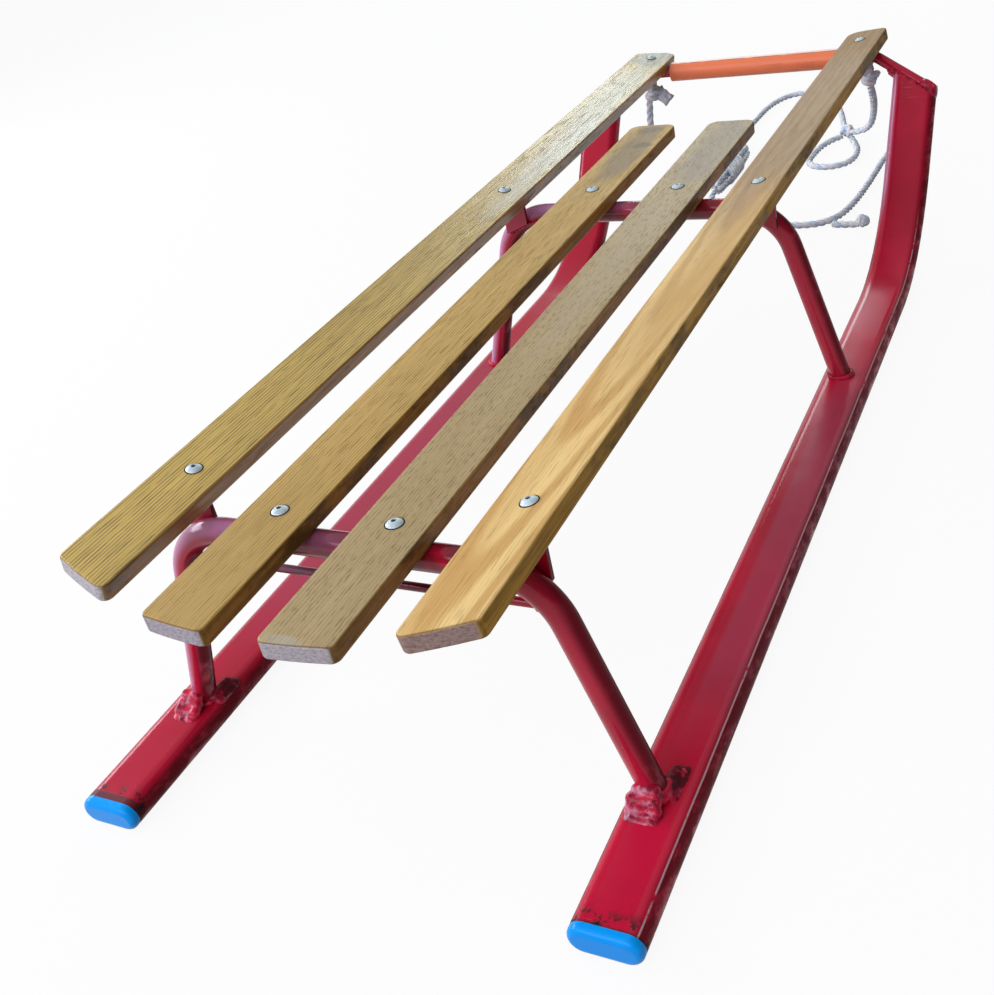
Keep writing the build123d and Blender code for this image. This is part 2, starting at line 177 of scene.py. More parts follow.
# Painted sheen: a greyish pink film over the outer part of the top, for the sky reflected there.
painted_sheen = times(tree, band(tree, across, -0.008, -0.003), band(tree, axes["Y"], -0.36, -0.24))
painted_sheen = times(tree, painted_sheen, times(tree, upper, band(tree, axes["Y"], 0.16, 0.02)))
painted_sheen = times(tree, painted_sheen, 0.4)
paint = blend_colour(tree, painted_sheen, paint, SHEEN_COLOUR)
paint = blend_colour(tree, flank, paint, FLANK_SHADE, 0.85)
# Painted highlight: a lilac band along the swept-up inner edge of the right runner.
edge_highlight = times(tree, band(tree, across, -0.0125, -0.0180), band(tree, axes["Z"], 0.035, 0.075))
edge_highlight = times(tree, edge_highlight, band(tree, axes["X"], 0.02, 0.10))
paint = blend_colour(tree, edge_highlight, paint, EDGE_HIGHLIGHT, 0.60)
paint = blend_colour(tree, line, paint, RUBBED_BARE)
rear_end = band(tree, axes["Y"], -0.444, -0.456)
chip = band(tree, spots(tree, stretched(tree, place, (130, 90, 130)), 1.0, 7.0, 0.75), 0.54, 0.59)
rim_ragged = scaled(tree, spots(tree, place, 320.0, 4.0, 0.7), 0.003, axes["Y"])
rim = band(tree, rim_ragged, -0.4545, -0.4565)
chip = larger(tree, times(tree, chip, rear_end), times(tree, rim, 0.75))
paint = blend_colour(tree, chip, paint, CHIP_BLACK)
top_end = band(tree, axes["Z"], 0.128, 0.150)
scratch = band(
    tree, spots(tree, stretched(tree, place, (40, 500, 500), (0, 0.5, 0)), 1.0, 4.0, 0.65), 0.60, 0.68
)
paint = blend_colour(tree, times(tree, top_end, scratch), paint, END_SCRATCH, 0.6)
under = band(tree, axes["Z"], 0.004, 0.0005)
paint = blend_colour(tree, under, paint, SOLE_DIRT, 0.85)
tree.links.new(paint, surface.inputs["Base Color"])
dull = larger(tree, larger(tree, chip, flank), line)
gloss = scaled(tree, spots(tree, place, 40.0), 0.12, 0.15)
tree.links.new(scaled(tree, dull, 0.3, gloss), surface.inputs["Roughness"])
tree.links.new(scaled(tree, flank, -0.22, 0.28), surface.inputs["Specular IOR Level"])
roughen(tree, surface, spots(tree, place, 30.0, 2.0), 0.05, 0.003)


def dress(name, material):
    """Gives a CAD piece its finish."""
    nodes[name].data.materials.clear()
    nodes[name].data.materials.append(material)


for name in ("runner_left", "runner_right"):
    dress(name, runner_paint)

# End plugs
# Injection-moulded plugs of bright blue plastic, pushed into the open rear ends of the runners.
# Their faces are rounded over and a little scuffed.
PLUG_BLUE = (0.0, 0.38, 1.0, 1)
PLUG_SCUFF = (0.02, 0.44, 1.0, 1)

plug_plastic, tree, surface, coords = start_material("blue plug plastic")
place = coords.outputs["Object"]
worn = band(tree, spots(tree, place, 120.0, 6.0, 0.7), 0.58, 0.75)
tree.links.new(blend_colour(tree, worn, PLUG_BLUE, PLUG_SCUFF), surface.inputs["Base Color"])
surface.inputs["Roughness"].default_value = 0.24
surface.inputs["Specular IOR Level"].default_value = 0.16
roughen(tree, surface, spots(tree, place, 160.0, 3.0), 0.05, 0.001)
for name in ("end_plug_left", "end_plug_right"):
    dress(name, plug_plastic)

# Bows, tie rod, nose bar and slat brackets
# Round steel tube bent in two U shapes, a tie rod under the rear one, a bent nose bar and four cut
# angles for the outer slats, all welded up and sprayed the same red. A lilac highlight is painted on
# top at the left, and painted shade darkens the bars under the seat and the sides turned down to the
# right.
NICK_PALE = (0.50, 0.22, 0.26, 1)
FOOT_SOOT = (0.05, 0.012, 0.018, 1)
SEAT_SHADE = (0.070, 0.008, 0.010, 1)
LILAC_HIGHLIGHT = (0.62, 0.35, 0.60, 1)
SIDE_SHADE = (0.12, 0.008, 0.014, 1)
HIGHLIGHT_DIRECTION = (-0.55, -0.48, 0.68)
SHADE_DIRECTION = (0.86, 0.30, -0.40)


def turned(tree, coords, direction):
    """1 on faces turned straight towards a direction, -1 on those turned away."""
    both = {0: coords.outputs["Normal"], 1: direction}
    return add(tree, "ShaderNodeVectorMath", both, operation="DOT_PRODUCT").outputs["Value"]


frame_paint, tree, surface, coords = start_material("frame red paint")
place = coords.outputs["Object"]
paint = red_paint_base(tree, place)
nick = band(tree, spots(tree, place, 210.0, 5.0, 0.7), 0.69, 0.73)
paint = blend_colour(tree, nick, paint, NICK_PALE, 0.5)
axes = split(tree, place)
foot = band(tree, axes["Z"], 0.042, 0.018)
soot = times(tree, foot, band(tree, spots(tree, place, 75.0, 5.0, 0.7), 0.45, 0.62))
paint = blend_colour(tree, soot, paint, FOOT_SOOT, 0.7)
# Painted shade: the bars under the seat are darkened in patches, where the slats shade them.
under_seat = times(
    tree, band(tree, size_of(tree, axes["X"]), 0.100, 0.078), band(tree, axes["Y"], 0.30, 0.25)
)
grime_and_shade = times(tree, under_seat, band(tree, spots(tree, place, 45.0, 5.0, 0.65), 0.25, 0.60))
paint = blend_colour(tree, grime_and_shade, paint, SEAT_SHADE, 0.80)
# Painted highlight: lilac on the faces turned up and to the left, on the left of the frame.
toward_highlight = turned(tree, coords, HIGHLIGHT_DIRECTION)
lilac_highlight = times(tree, band(tree, toward_highlight, 0.35, 0.95), band(tree, axes["X"], 0.03, -0.08))
paint = blend_colour(tree, lilac_highlight, paint, LILAC_HIGHLIGHT, 0.70)
# Painted shade: the faces turned down to the right are darkened in patches and reflect less.
toward_shade = turned(tree, coords, SHADE_DIRECTION)
side_shade = times(
    tree, band(tree, toward_shade, -0.10, 0.50),
    band(tree, spots(tree, place, 60.0, 5.0, 0.65), 0.20, 0.48),
)
paint = blend_colour(tree, side_shade, paint, SIDE_SHADE, 0.80)
tree.links.new(paint, surface.inputs["Base Color"])
tree.links.new(scaled(tree, spots(tree, place, 40.0), 0.12, 0.11), surface.inputs["Roughness"])
tree.links.new(scaled(tree, side_shade, -0.30, 0.34), surface.inputs["Specular IOR Level"])
roughen(tree, surface, spots(tree, place, 150.0), 0.06, 0.001)

for name in (
    "rear_bow", "front_bow", "tie_rod", "nose_bar",
    "rear_slat_bracket_left", "rear_slat_bracket_right",
    "front_slat_bracket_left", "front_slat_bracket_right",
):
    dress(name, frame_paint)

# Welds
# Beads of weld metal that hold bows, brackets, tie rod and nose bar, heaped up in front of and behind
# the rear feet, all painted over with the frame. A bead is a run of drops fused into one another.
BOW_Z = 159.4
REAR_BOW_Y = -371.0
FRONT_BOW_Y = 84.0
FOOT_X = 154.0
NOSE_BAR_Y = 431.0
NOSE_BAR_Z = 171.5
ARM_X = 118.0
ARM_LENGTH = 66.0
BRACKET_WELD = 8.6
TIE_ROD_END = 108.6
TIE_ROD_Z = 138.0
TIE_ROD_R = 3.0
WELD_HIGHLIGHT_DIRECTION = (-0.68, -0.55, 0.48)
WELD_DEEP = (0.26, 0.006, 0.030, 1)
WELD_BARED = (0.62, 0.40, 0.46, 1)
WELD_HIGHLIGHT = (0.78, 0.48, 0.62, 1)
WELD_SOOT = (0.035, 0.012, 0.014, 1)

weld_paint, tree, surface, coords = start_material("weld red paint")
place = coords.outputs["Object"]
paint = blend_colour(tree, band(tree, spots(tree, place, 130.0), 0.40, 0.65), CRIMSON, WELD_DEEP)
bared = band(tree, spots(tree, place, 330.0, 5.0, 0.7), 0.60, 0.68)
paint = blend_colour(tree, bared, paint, WELD_BARED, 0.6)
# Painted highlight: pale lilac patches on the faces of the rear heaps turned back and to the left.
toward_weld_highlight = turned(tree, coords, WELD_HIGHLIGHT_DIRECTION)
axes = split(tree, place)
weld_highlight = times(
    tree, band(tree, toward_weld_highlight, 0.58, 0.95), band(tree, spots(tree, place, 240.0, 4.0, 0.6), 0.40, 0.58)
)
weld_highlight = times(tree, weld_highlight, band(tree, axes["Y"], -0.366, -0.376))
paint = blend_colour(tree, weld_highlight, paint, WELD_HIGHLIGHT, 0.70)
ahead = times(tree, band(tree, axes["Y"], -0.370, -0.362), band(tree, axes["Y"], -0.300, -0.310))
sooty = band(tree, scaled(tree, ahead, 0.22, spots(tree, place, 170.0, 4.0, 0.65)), 0.57, 0.66)
paint = blend_colour(tree, sooty, paint, WELD_SOOT, 0.8)
tree.links.new(paint, surface.inputs["Base Color"])
tree.links.new(scaled(tree, bared, 0.25, 0.30), surface.inputs["Roughness"])
tree.links.new(scaled(tree, sooty, -0.20, 0.25), surface.inputs["Specular IOR Level"])
roughen(tree, surface, spots(tree, place, 600.0), 0.15, 0.0006)


def start_tree(name, inputs, result):
    """A node tree that makes a mesh, with its named inputs and the name of what it gives."""
    tree = bpy.data.node_groups.new(name, "GeometryNodeTree")
    for label, kind in inputs.items():
        tree.interface.new_socket(name=label, in_out="INPUT", socket_type="NodeSocket" + kind)
    tree.interface.new_socket(name=result, in_out="OUTPUT", socket_type="NodeSocketGeometry")
    return tree, add(tree, "NodeGroupInput").outputs


bead_inputs = {
    "Path": "Geometry", "Drop radius": "Float", "Drop spacing": "Float", "Seed": "Int",
    "Paint": "Material",
}
weld_tree, given = start_tree("weld bead", bead_inputs, "Bead")
run = add(weld_tree, "GeometryNodeMeshToCurve", {"Mesh": given["Path"]}).outputs[0]
run = add(
    weld_tree, "GeometryNodeResampleCurve", {"Curve": run, "Length": given["Drop spacing"]},
    mode="LENGTH",
).outputs[0]
drop = add(
    weld_tree, "GeometryNodeMeshIcoSphere", {"Radius": given["Drop radius"], "Subdivisions": 2}
).outputs["Mesh"]
swell = add(
    weld_tree, "FunctionNodeRandomValue",
    {0: (0.85, 0.85, 0.78), 1: (1.12, 1.10, 1.08), "Seed": given["Seed"]}, data_type="FLOAT_VECTOR",
).outputs[0]
drops = add(
    weld_tree, "GeometryNodeInstanceOnPoints", {"Points": run, "Instance": drop, "Scale": swell}
).outputs[0]
drops = add(weld_tree, "GeometryNodeRealizeInstances", {"Geometry": drops}).outputs[0]
drops = add(
    weld_tree, "GeometryNodeSetMaterial", {"Geometry": drops, "Material": given["Paint"]}
).outputs[0]
add(weld_tree, "NodeGroupOutput", {"Bead": drops})


def new_piece(name, mesh):
    piece = bpy.data.objects.new(name, mesh)
    bpy.context.scene.collection.objects.link(piece)
    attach(piece, "root")
    return piece


def made_by_tree(name, tree, points, edges, values, attributes=None):
    """The plain mesh that a node tree makes from points and edges; values are its named inputs."""
    source = bpy.data.meshes.new(name)
    source.from_pydata(points, edges, [])
    for label, numbers in (attributes or {}).items():
        source.attributes.new(label, "FLOAT", "POINT").data.foreach_set("value", numbers)
    holder = bpy.data.objects.new(name + "_source", source)
    bpy.context.scene.collection.objects.link(holder)
    maker = holder.modifiers.new(name, "NODES")
    maker.node_group = tree
    for socket in tree.interface.items_tree:
        if socket.in_out == "INPUT" and socket.name in values:
            maker[socket.identifier] = values[socket.name]
    mesh = bpy.data.meshes.new_from_object(holder.evaluated_get(bpy.context.evaluated_depsgraph_get()))
    mesh.name = name
    holder.modifiers.remove(maker)
    bpy.data.objects.remove(holder)
    bpy.data.meshes.remove(source)
    return mesh


def fused(mesh, voxel, rounds):
    """One closed skin round overlapping drops."""
    holder = bpy.data.objects.new("weld_source", mesh)
    bpy.context.scene.collection.objects.link(holder)
    skin = holder.modifiers.new("skin", "REMESH")
    skin.mode = "VOXEL"
    skin.voxel_size = voxel
    soft = holder.modifiers.new("soft", "SMOOTH")
    soft.factor = 0.5
    soft.iterations = rounds
    made = bpy.data.meshes.new_from_object(holder.evaluated_get(bpy.context.evaluated_depsgraph_get()))
    holder.modifiers.clear()
    bpy.data.objects.remove(holder)
    made.name = mesh.name
    bpy.data.meshes.remove(mesh)
    return made


def ring_line(x, y, z, radius_x, radius_y):
    steps = [2 * math.pi * k / 24 for k in range(25)]
    return [(x + radius_x * math.cos(a), y + radius_y * math.sin(a), z) for a in steps]


def both_sides(lines):
    return lines + [[(-x, y, z) for x, y, z in line] for line in lines]


rise = math.radians(54.5)
drop_angle = math.radians(33.0)
up_run = Vector((0, math.cos(rise), math.sin(rise)))
arm_dir = Vector((1, 0, 0)) * math.cos(drop_angle) - up_run * math.sin(drop_angle)
arm_side = Vector((0, -math.sin(rise), math.cos(rise)))
arm_under = Vector((1, 0, 0)) * -math.sin(drop_angle) - up_run * math.cos(drop_angle)
arm_root = Vector((ARM_X, NOSE_BAR_Y, NOSE_BAR_Z))
nose_lines = []
for side in (-1, 1):
    ends = [
        arm_root + arm_dir * reach + arm_under * 4.6 + arm_side * 3.6 * side
        for reach in (23.0, ARM_LENGTH)
    ]
    nose_lines.append([tuple(end) for end in ends])
corner = arm_root + arm_dir * ARM_LENGTH
corner_bends = (
    arm_root + arm_dir * 59.0, corner, corner - up_run * 5.0,
    corner - up_run * 11.0 - Vector((3.5, 0, 0)),
)
corner_lines = [[tuple(bend + arm_side * lift) for bend in corner_bends] for lift in (-2.2, 0.0, 2.2)]
heap_lines = [
    # right foot: behind it, then on its outer front side
    [(147, -378.5, 25.5), (157, -378.5, 26)], [(145.5, -382.5, 22.5), (158.5, -382.5, 22.5)],
    [(145.5, -387, 19.8), (160, -387, 19.8)], [(147, -391, 16.2), (159.5, -391.5, 16.2)],
    [(160.5, -376, 20.5), (160.5, -355, 18.5)], [(164, -374, 16.8), (164.5, -353, 16.5)],
    # left foot: behind it, then on its inner front side
    [(-160, -378.5, 25.5), (-151, -378.5, 26)], [(-161.5, -382.5, 22.5), (-149.5, -382.5, 22.5)],
    [(-161.5, -387, 19.8), (-149, -387, 19.8)], [(-160.5, -391, 16.2), (-149.5, -391, 16.2)],
    [(-146.8, -372, 20.5), (-146.8, -356, 18.5)], [(-143.2, -370, 16.8), (-143.0, -354, 16.5)],
]
bracket_lines = []
for bow_y, inward in ((REAR_BOW_Y, 1), (FRONT_BOW_Y, -1)):
    leg_y = bow_y + inward * BRACKET_WELD
    bracket_lines.append([(92.8, leg_y, BOW_Z - 5.0), (111.2, leg_y, BOW_Z - 12.8)])
tie_angles = [k * math.pi / 8 for k in range(17)]
tie_ring = [
    (TIE_ROD_END, REAR_BOW_Y + TIE_ROD_R * math.cos(a), TIE_ROD_Z + TIE_ROD_R * math.sin(a))
    for a in tie_angles
]
weld_rows = {
    # piece: lines, drop radius, drop spacing, voxel, rounds of smoothing, seed
    "weld_rear_heaps": (heap_lines, 4.0, 1.6, 0.6, 20, 5),
    "weld_feet": (
        both_sides(
            [
                ring_line(FOOT_X, REAR_BOW_Y, 19.0, 8.9, 8.5),
                ring_line(FOOT_X, FRONT_BOW_Y, 19.0, 8.9, 8.5),
            ]
        ),
        2.1, 2.2, 0.55, 3, 2,
    ),
    "weld_nose": (both_sides(nose_lines), 3.2, 1.5, 0.5, 10, 7),
    "weld_nose_corners": (both_sides(corner_lines), 5.8, 0.7, 0.5, 40, 8),
    "weld_brackets": (both_sides(bracket_lines), 1.4, 1.5, 0.4, 3, 4),
    "weld_tie_rod": (both_sides([tie_ring]), 1.2, 1.3, 0.35, 2, 9),
}
for name, (lines, radius, spacing, voxel, rounds, seed) in weld_rows.items():
    points, edges = [], []
    for line in lines:
        first = len(points)
        points.extend(Vector(p) / 1000 for p in line)
        edges.extend((k, k + 1) for k in range(first, len(points) - 1))
    values = {
        "Drop radius": radius / 1000, "Drop spacing": spacing / 1000, "Seed": seed, "Paint": weld_paint
    }
    mesh = fused(made_by_tree(name, weld_tree, points, edges, values), voxel / 1000, rounds)
    mesh.materials.clear()
    mesh.materials.append(weld_paint)
    mesh.polygons.foreach_set("use_smooth", [True] * len(mesh.polygons))
    new_piece(name, mesh)

# Nose sleeve
# A length of orange plastic hose pushed over the nose bar as a hand grip, and held by its own squeeze.
# It is satin and a little dirty, with a painted highlight along its top and a dark seam along the rear
# of that.
SLEEVE_ORANGE = (0.95, 0.235, 0.085, 1)
SLEEVE_GRIME = (0.72, 0.16, 0.06, 1)
SLEEVE_HIGHLIGHT = (1.0, 0.68, 0.55, 1)
SEAM_DARK = (0.34, 0.045, 0.022, 1)

sleeve_plastic, tree, surface, coords = start_material("orange sleeve")
place = coords.outputs["Object"]
grime_and_shade = band(tree, spots(tree, stretched(tree, place, (18, 120, 120)), 1.0, 5.0, 0.65), 0.52, 0.74)
orange = blend_colour(tree, grime_and_shade, SLEEVE_ORANGE, SLEEVE_GRIME)
facing = split(tree, coords.outputs["Normal"])
# Painted highlight: a pale band along the top of the sleeve, on the faces turned up and to the rear.
top_highlight = times(tree, band(tree, facing["Y"], -0.46, -0.30), band(tree, facing["Z"], 0.2, 0.6))
orange = blend_colour(tree, top_highlight, orange, SLEEVE_HIGHLIGHT)
seam = band(tree, size_of(tree, math_node(tree, "ADD", facing["Y"], 0.36)), 0.09, 0.03)
seam = times(
    tree, seam,
    band(tree, spots(tree, stretched(tree, place, (45, 300, 300)), 1.0, 4.0, 0.7), 0.38, 0.55),
)
orange = blend_colour(tree, seam, orange, SEAM_DARK, 0.75)
tree.links.new(orange, surface.inputs["Base Color"])
surface.inputs["Roughness"].default_value = 0.38
surface.inputs["Specular IOR Level"].default_value = 0.45
dress("nose_sleeve", sleeve_plastic)

# Slats
# Four planed and varnished ash boards, each from another plank: the varnish has yellowed, the open
# pores are dark, the bare ends have gone grey, and the front ends are stained and split at the rivets.
# The sides are coloured darker than the tops, partly their own tone and partly painted shade, and a
# pale sheen is painted on the left outer board about the front bow.
slat_rows = {
    # node: pale wood, dark wood, side (darker than the top, partly painted shade), end grain, share of
    # year lines, share of arches, share of pores, runs of pores in a metre, gloss, roughness, shift of
    # the pattern
    "outer_slat_left": (
        (0.70, 0.500, 0.108), (0.44, 0.295, 0.046), (0.26, 0.122, 0.018), (0.60, 0.58, 0.57), 0.85, 0.0,
        0.75, 42, 0.60, 0.34, 0.0,
    ),
    "inner_slat_left": (
        (0.63, 0.435, 0.142), (0.46, 0.303, 0.080), (0.25, 0.124, 0.020), (0.54, 0.51, 0.51), 0.50, 0.0,
        0.50, 60, 0.12, 0.50, 1.7,
    ),
    "inner_slat_right": (
        (0.49, 0.380, 0.178), (0.36, 0.268, 0.112), (0.24, 0.124, 0.026), (0.57, 0.54, 0.52), 0.34, 0.0,
        0.48, 150, 0.20, 0.46, 3.1,
    ),
    "outer_slat_right": (
        (0.87, 0.635, 0.250), (0.60, 0.350, 0.105), (0.38, 0.205, 0.034), (0.42, 0.30, 0.24), 0.10,
        0.85, 0.34, 45, 0.10, 0.50, 5.3,
    ),
}
mark_rows = {
    # node: x, y, half width, half length in millimetres, colour, strength
    "outer_slat_left": [
        (-116, 226, 6, 9, (0.26, 0.22, 0.11), 0.45),
        (-101, 207, 5, 8, (0.26, 0.22, 0.11), 0.40),
        # painted sheen: a pale grey-green patch over the front bow and ahead of it
        (-98, 150, 16, 150, (0.56, 0.57, 0.46), 0.55),
        (-105, 300, 19, 120, (0.42, 0.39, 0.24), 0.45),
        (-104, 436, 26, 42, (0.32, 0.30, 0.20), 0.85),
    ],
    "inner_slat_left": [
        (-36, -430, 44, 130, (0.42, 0.285, 0.088), 0.40),
        (-30, 186, 11, 9, (0.12, 0.095, 0.055), 0.75),
        (-36, 226, 14, 12, (0.17, 0.15, 0.085), 0.70),
        (-36, 170, 19, 105, (0.25, 0.21, 0.135), 0.65),
    ],
    "inner_slat_right": [
        (28, -463, 14, 5, (0.48, 0.52, 0.47), 0.34),
        (40, 170, 22, 110, (0.30, 0.255, 0.185), 0.60),
        (36, -60, 19, 160, (0.43, 0.36, 0.23), 0.35),
    ],
    "outer_slat_right": [
        (112, 78, 1.1, 14, (0.09, 0.055, 0.03), 0.85),
        (99, 62, 0.9, 10, (0.10, 0.06, 0.03), 0.80),
        (112, -70, 15, 180, (0.66, 0.405, 0.105), 0.65),
        (106, -110, 34, 190, (0.56, 0.385, 0.155), 0.40),
        (106, 290, 70, 390, (0.30, 0.205, 0.115), 0.80),
    ],
}


def mark(tree, place, axes, x, y, wide, long):
    """1 inside a ragged spot on the board, 0 outside it."""
    du = scaled(tree, axes["X"], 1000 / wide, -x / wide)
    dv = scaled(tree, axes["Y"], 1000 / long, -y / long)
    away = math_node(tree, "SQRT", math_node(tree, "ADD", times(tree, du, du), times(tree, dv, dv)))
    torn = spots(tree, stretched(tree, place, (900 / wide, 1400 / long, 100)), 1.0, 4.0, 0.6)
    return band(tree, scaled(tree, torn, 1.1, away), 1.55, 1.0)


def ash_board(
    name, pale, dark, side, end, year_lines, arches, pore_share, pore_runs, gloss, roughness, shift,
):
    made, tree, surface, coords = start_material("ash " + name)
    place = coords.outputs["Object"]
    axes = split(tree, place)
    facing = split(tree, coords.outputs["Normal"])
    along = stretched(tree, place, (1, 1, 1), (0, 0, 0.004), (shift, shift, shift))
    cloud = spots(tree, stretched(tree, along, (55, 3.0, 55)), 1.0, 3.0, 0.5)
    wood = blend_colour(
        tree, band(tree, cloud, 0.32, 0.70), (*pale, 1),
        tuple(0.55 * a + 0.45 * b for a, b in zip(pale, dark)) + (1,),
    )
    year = add(
        tree,
        "ShaderNodeTexWave",
        {
            "Vector": stretched(tree, along, (1, 0.035, 0.25)), "Scale": 150.0, "Distortion": 3.2,
            "Detail": 2.0, "Detail Scale": 0.35,
        },
        wave_type="BANDS", bands_direction="X",
    ).outputs["Fac"]
    breaks = spots(tree, stretched(tree, along, (420, 17, 120)), 1.0, 3.0, 0.6)
    lines = times(tree, band(tree, year, 0.50, 0.92), band(tree, breaks, 0.34, 0.54))
    wood = blend_colour(
        tree, lines, wood, (dark[0] * 0.50, dark[1] * 0.46, dark[2] * 0.45, 1), year_lines,
    )
    arch = add(
        tree,
        "ShaderNodeTexWave",
        {
            "Vector": stretched(tree, place, (1, 1, 1), (-0.045, 0, 0.012), (-0.108, 0, -0.172)),
            "Scale": 52.0, "Distortion": 1.6, "Detail": 3.0, "Detail Scale": 0.22,
        },
        wave_type="RINGS", rings_direction="Y",
    ).outputs["Fac"]
    wood = blend_colour(tree, band(tree, arch, 0.30, 0.95), wood, (*dark, 1), arches)
    pore = spots(tree, stretched(tree, along, (900, pore_runs, 260)), 1.0, 2.0, 0.55)
    zone = band(tree, year, 0.10, 0.75)
    pores = times(tree, band(tree, pore, 0.55, 0.63), scaled(tree, zone, 0.55, 0.45))
    wood = blend_colour(
        tree, pores, wood, (dark[0] * 0.38, dark[1] * 0.36, dark[2] * 0.36, 1), pore_share,
    )
    fibre = spots(tree, stretched(tree, along, (1300, 18, 500)), 1.0, 4.0, 0.6)
    wood = blend_colour(
        tree, band(tree, fibre, 0.50, 0.78), wood, tuple(min(1, 1.30 * c) for c in pale) + (1,), 0.42,
    )
    smudge = spots(tree, stretched(tree, along, (30, 11, 30), (0, 0, 0), (4, 4, 4)), 1.0, 5.0, 0.65)
    wood = blend_colour(
        tree, band(tree, smudge, 0.58, 0.80), wood, (dark[0] * 0.5, dark[1] * 0.5, dark[2] * 0.55, 1),
        0.35,
    )
    for x, y, wide, long, colour, strength in mark_rows[name]:
        wood = blend_colour(
            tree, mark(tree, place, axes, x, y, wide, long), wood, (*colour, 1), strength,
        )
    # Painted shade in part: the sides take the darker side colour, which is partly the board's own
    # tone.
    edge = band(tree, size_of(tree, facing["X"]), 0.45, 0.85)
    flank = blend_colour(
        tree, band(tree, fibre, 0.35, 0.65), (*side, 1), tuple(1.7 * c for c in side) + (1,)
    )
    flank = blend_colour(
        tree, band(tree, smudge, 0.45, 0.60), flank, tuple(0.45 * c for c in side) + (1,)
    )
    wood = blend_colour(tree, edge, wood, flank)
    cut = band(tree, size_of(tree, facing["Y"]), 0.78, 0.93)
    rounded = math_node(tree, "SUBTRACT", band(tree, size_of(tree, facing["Y"]), 0.30, 0.70), cut)
    wood = blend_colour(tree, rounded, wood, tuple(0.40 * c for c in side) + (1,), 0.65)
    saw = spots(tree, stretched(tree, place, (420, 60, 900)), 1.0, 4.0, 0.7)
    bare = blend_colour(
        tree, band(tree, saw, 0.38, 0.72), (*end, 1), (end[0] * 0.50, end[1] * 0.48, end[2] * 0.48, 1)
    )
    wood = blend_colour(tree, cut, wood, bare)
    tree.links.new(wood, surface.inputs["Base Color"])
    rough = scaled(tree, cut, 0.25, roughness)
    tree.links.new(scaled(tree, pores, 0.2, rough), surface.inputs["Roughness"])
    nose_end = band(tree, axes["Y"], 0.33, 0.42)
    tree.links.new(scaled(tree, nose_end, -0.7 * gloss, gloss), surface.inputs["Specular IOR Level"])
    roughen(tree, surface, math_node(tree, "SUBTRACT", fibre, larger(tree, pores, lines)), 0.14, 0.0007)
    return made


for name, row in slat_rows.items():
    dress(name, ash_board(name, *row))

# Rivets
# Ten zinc-plated steel rivets with domed heads and a hole in the middle, set through slat and steel.
# The weather has dulled their plating in patches.
ZINC_BRIGHT = (0.62, 0.77, 0.78, 1)
ZINC_DULL = (0.40, 0.50, 0.50, 1)
rivet_zinc, tree, surface, coords = start_material("dull zinc")
place = coords.outputs["Object"]
tarnish = band(tree, spots(tree, place, 260.0, 5.0, 0.7), 0.45, 0.70)
tree.links.new(blend_colour(tree, tarnish, ZINC_BRIGHT, ZINC_DULL), surface.inputs["Base Color"])
surface.inputs["Metallic"].default_value = 0.30
surface.inputs["Roughness"].default_value = 0.46
for name in nodes:
    if "_rivet_" in name:
        dress(name, rivet_zinc)

# Painted shade at the rivets
# A near-black flat plug in the hole of each rivet head and a thin dark ring in the joint round it,
# painted shade placed on every rivet.
INNER_RIVET = (35.9, 178.2, 0.0)
OUTER_RIVET = (105.2, 187.1, math.radians(9.7))
RIVET_FROM_BOW = 17.7
SHADE_BLACK = (0.018, 0.016, 0.014, 1)
SHADE_BROWN = (0.055, 0.045, 0.032, 1)

# Painted shade: near-black and dark brown for the shaded hole and joint of every rivet.
rivet_shade_paint, tree, surface, coords = start_material("packed grime")
place = coords.outputs["Object"]
shade_colour = blend_colour(tree, band(tree, spots(tree, place, 900.0, 3.0), 0.4, 0.7), SHADE_BLACK, SHADE_BROWN)
tree.links.new(shade_colour, surface.inputs["Base Color"])
surface.inputs["Roughness"].default_value = 0.9
surface.inputs["Specular IOR Level"].default_value = 0.2

rivet_shade_inputs = {
    "Rivets": "Geometry", "Hole radius": "Float", "Head radius": "Float", "Joint": "Float",
    "Shade_paint": "Material",
}
rivet_shade_tree, given = start_tree("rivet grime", rivet_shade_inputs, "Shade_marks")
plug = add(
    rivet_shade_tree, "GeometryNodeMeshCylinder",
    {"Vertices": 20, "Radius": given["Hole radius"], "Depth": 0.0004},
).outputs["Mesh"]
plug = add(
    rivet_shade_tree, "GeometryNodeTransform", {"Geometry": plug, "Translation": (0, 0, 0.0013)}
).outputs[0]
joint = add(
    rivet_shade_tree, "GeometryNodeCurvePrimitiveCircle", {"Resolution": 40, "Radius": given["Head radius"]}
).outputs["Curve"]
line = add(
    rivet_shade_tree, "GeometryNodeCurvePrimitiveCircle", {"Resolution": 8, "Radius": given["Joint"]}
).outputs["Curve"]
joint = add(rivet_shade_tree, "GeometryNodeCurveToMesh", {"Curve": joint, "Profile Curve": line}).outputs[0]
both = add(rivet_shade_tree, "GeometryNodeJoinGeometry")
rivet_shade_tree.links.new(plug, both.inputs[0])
rivet_shade_tree.links.new(joint, both.inputs[0])
lean = add(
    rivet_shade_tree, "GeometryNodeInputNamedAttribute", {"Name": "lean"}, data_type="FLOAT"
).outputs["Attribute"]
turn = add(rivet_shade_tree, "ShaderNodeCombineXYZ", {"Y": lean}).outputs[0]
placed = add(
    rivet_shade_tree, "GeometryNodeInstanceOnPoints",
    {"Points": given["Rivets"], "Instance": both.outputs[0], "Rotation": turn},
).outputs[0]
placed = add(rivet_shade_tree, "GeometryNodeRealizeInstances", {"Geometry": placed}).outputs[0]
placed = add(
    rivet_shade_tree, "GeometryNodeSetMaterial", {"Geometry": placed, "Material": given["Shade_paint"]}
).outputs[0]
add(rivet_shade_tree, "NodeGroupOutput", {"Shade_marks": placed})

